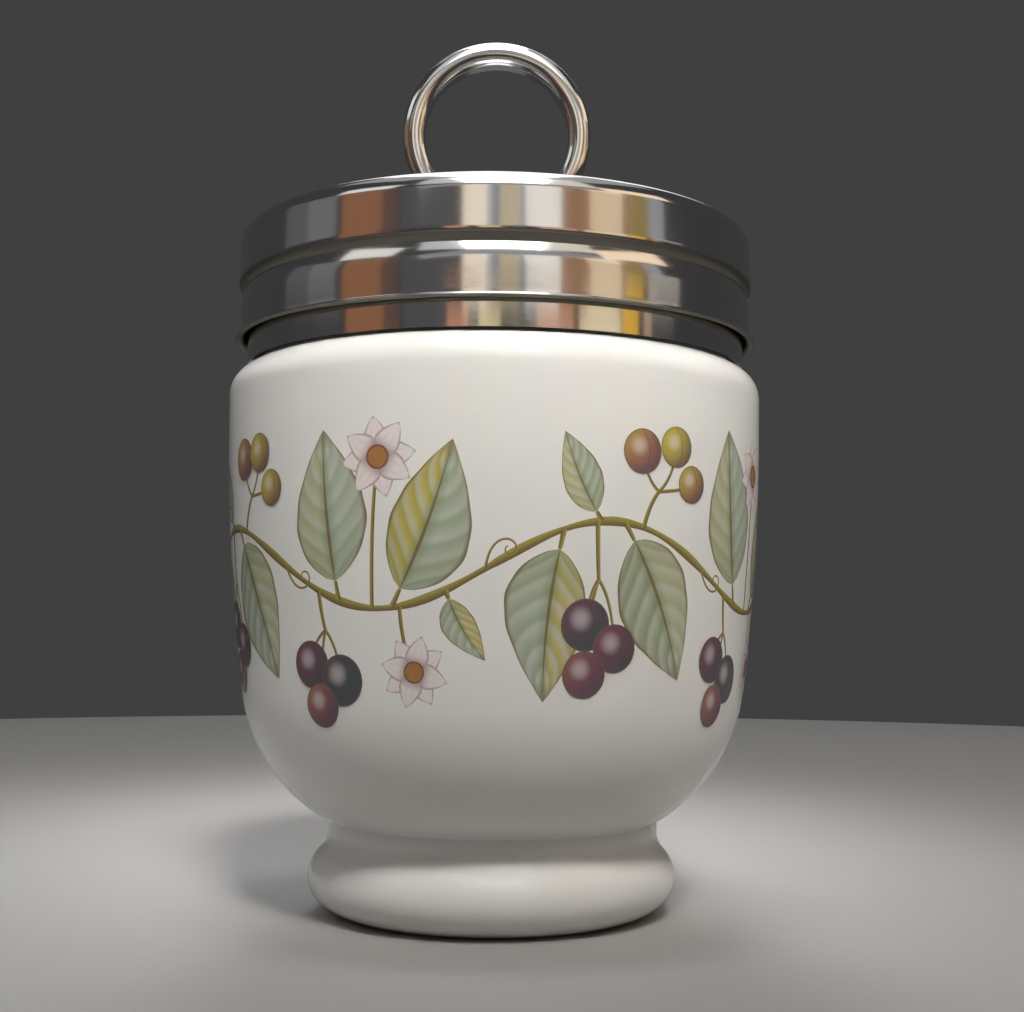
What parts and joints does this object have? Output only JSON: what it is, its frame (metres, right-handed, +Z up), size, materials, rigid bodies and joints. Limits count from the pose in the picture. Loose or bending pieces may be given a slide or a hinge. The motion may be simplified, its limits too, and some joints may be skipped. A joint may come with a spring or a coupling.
{
  "type": "porcelain egg coddler",
  "caption": "Footed porcelain cup with a moulded screw neck, closed by a grooved metal screw lid with an upright finger ring.",
  "frame": {"origin": "middle of the foot's base, on the surface that the coddler stands on", "axes": "+Z up along the cup's axis and the lid's thread; X across the finger ring, Y through its hole"},
  "size_m": [0.07, 0.07, 0.1159],
  "materials": {
    "porcelain": "glossy clear glaze over creamy white porcelain, with a printed garland",
    "seal_rubber": "matt pale food-grade rubber",
    "liner_metal": "bright pressed sheet",
    "cover_metal": "mirror polished spun sheet with fine handling marks",
    "ring_metal": "mirror polished solid section",
    "washer_metal": "plain stamped steel"
  },
  "bodies": {
    "cup": {"porcelain_cup": "porcelain"},
    "seal": {"sealing_ring": "seal_rubber"},
    "lid": {"screw_liner": "liner_metal", "lid_cover": "cover_metal", "ring_boss": "ring_metal", "ring_handle": "ring_metal", "backing_washer": "washer_metal"}
  },
  "joints": [
    {"name": "lid_rise", "type": "slide", "parent": "cup", "child": "seal", "axis": [0, 0, 1], "range_m": [0, 0.016]},
    {"name": "lid_turn", "type": "hinge", "parent": "seal", "child": "lid", "pos_m": [0, 0, 0.0881], "axis": [0, 0, 1], "range_deg": [0, 1440]}
  ],
  "couplings": [
    {"joint": "lid_rise", "follows": "lid_turn", "m_per_rad": 0.00063662}
  ]
}
